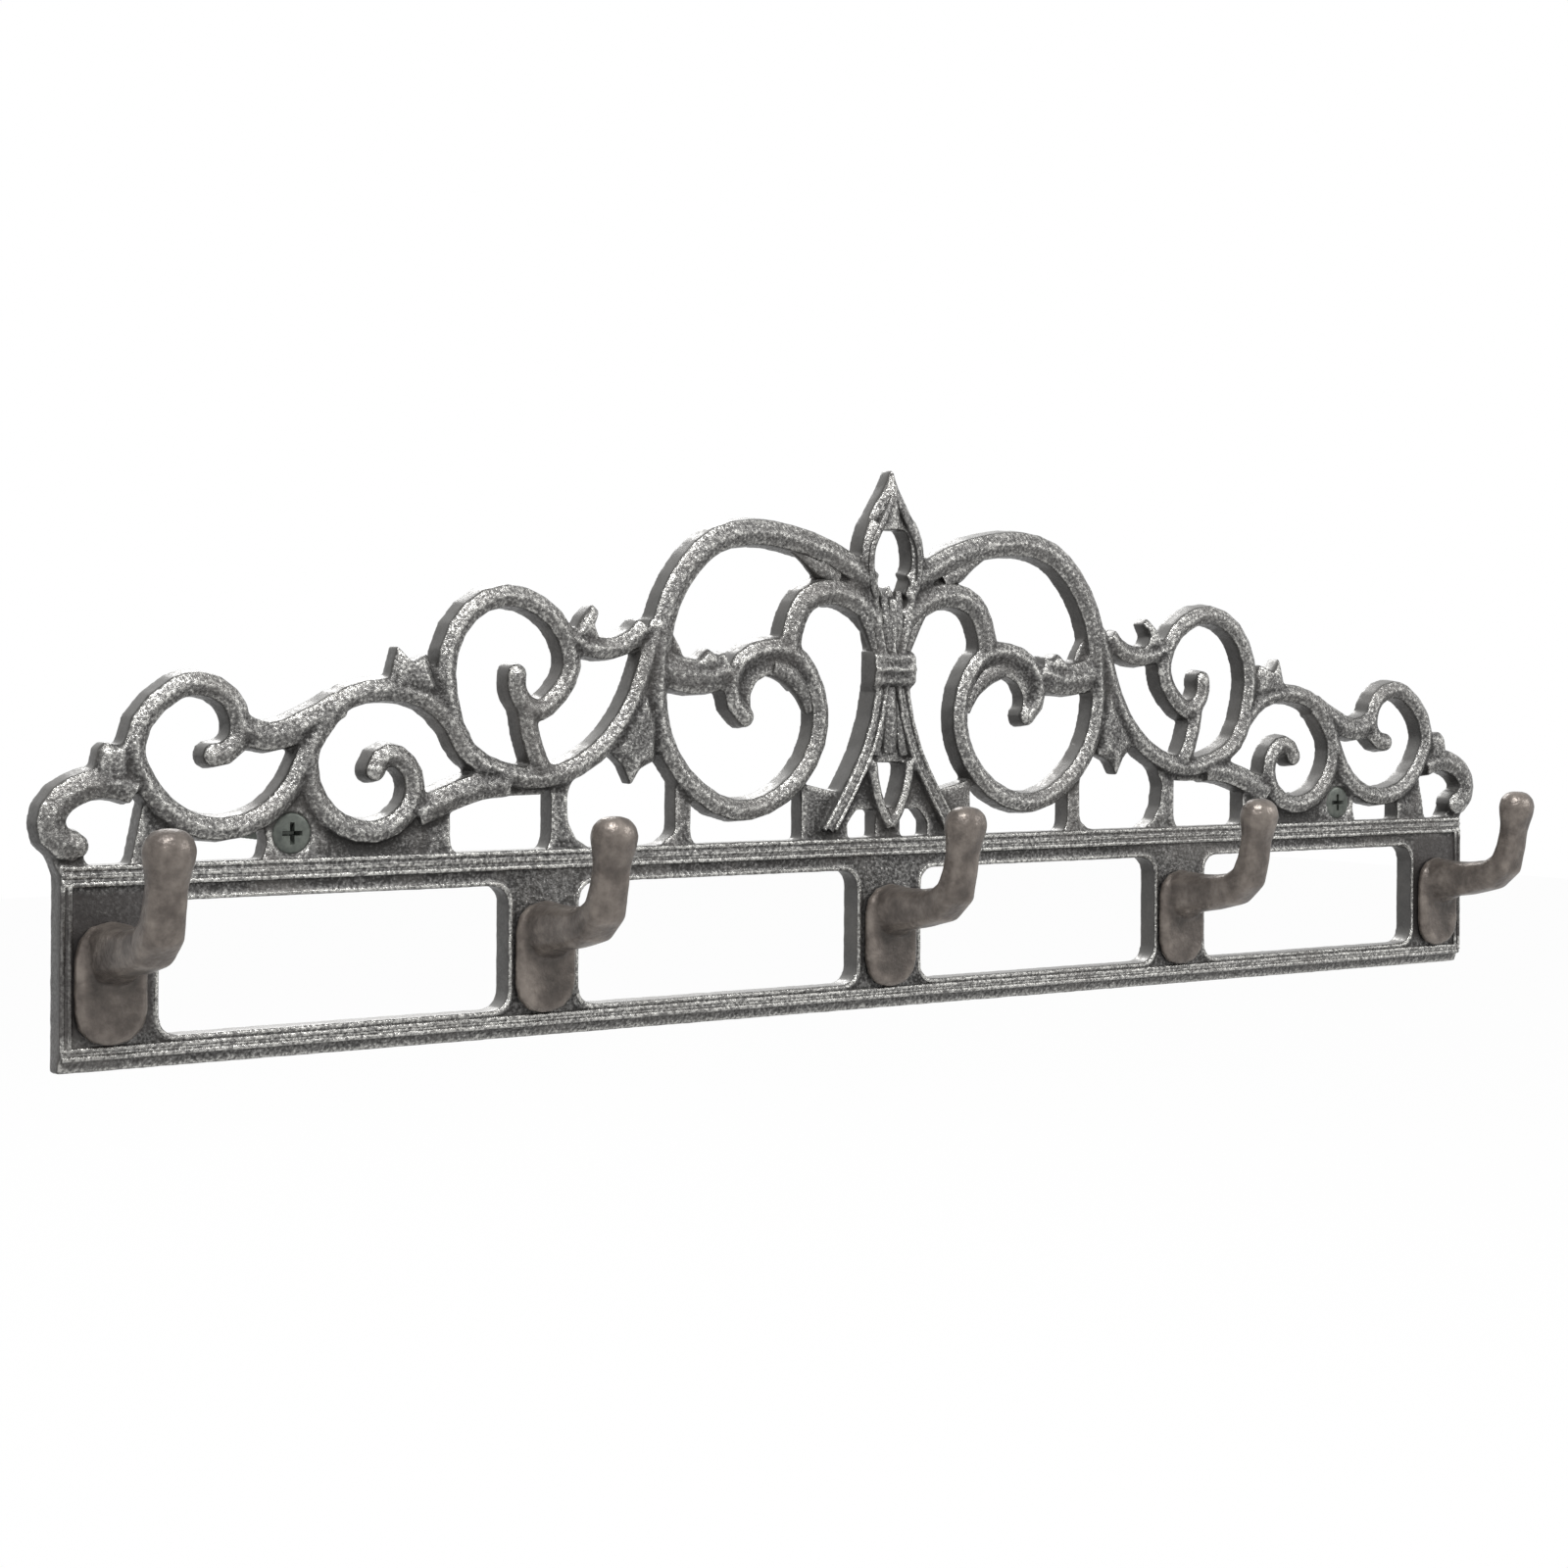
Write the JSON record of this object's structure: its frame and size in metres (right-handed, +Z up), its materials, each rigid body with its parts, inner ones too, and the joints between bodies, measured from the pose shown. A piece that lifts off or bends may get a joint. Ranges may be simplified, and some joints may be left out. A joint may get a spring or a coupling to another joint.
{
  "type": "key hook rack",
  "caption": "Wall rack for keys: a cast-iron scrollwork plate with a pointed finial and a windowed lower frame, carrying a row of upturned knob-ended hooks, fixed by screws at its ends.",
  "frame": {"origin": "on the wall plane, midway between the two wall screws", "axes": "+X along the rack to the right as seen from the front, +Y into the wall, +Z up"},
  "size_m": [0.3444, 0.0522, 0.1049],
  "materials": {
    "plate_iron": "dark grey cast iron, grainy as cast, with bright rubbed crests and ridges",
    "hook_iron": "smoother brown-grey cast iron, softly lacquered",
    "screw_steel": "dark phosphated steel"
  },
  "bodies": {
    "root": {"scroll_plate": "plate_iron", "hook_far_left": "hook_iron", "hook_left": "hook_iron", "hook_middle": "hook_iron", "hook_right": "hook_iron", "hook_far_right": "hook_iron", "wall_screws": "screw_steel"}
  },
  "joints": []
}
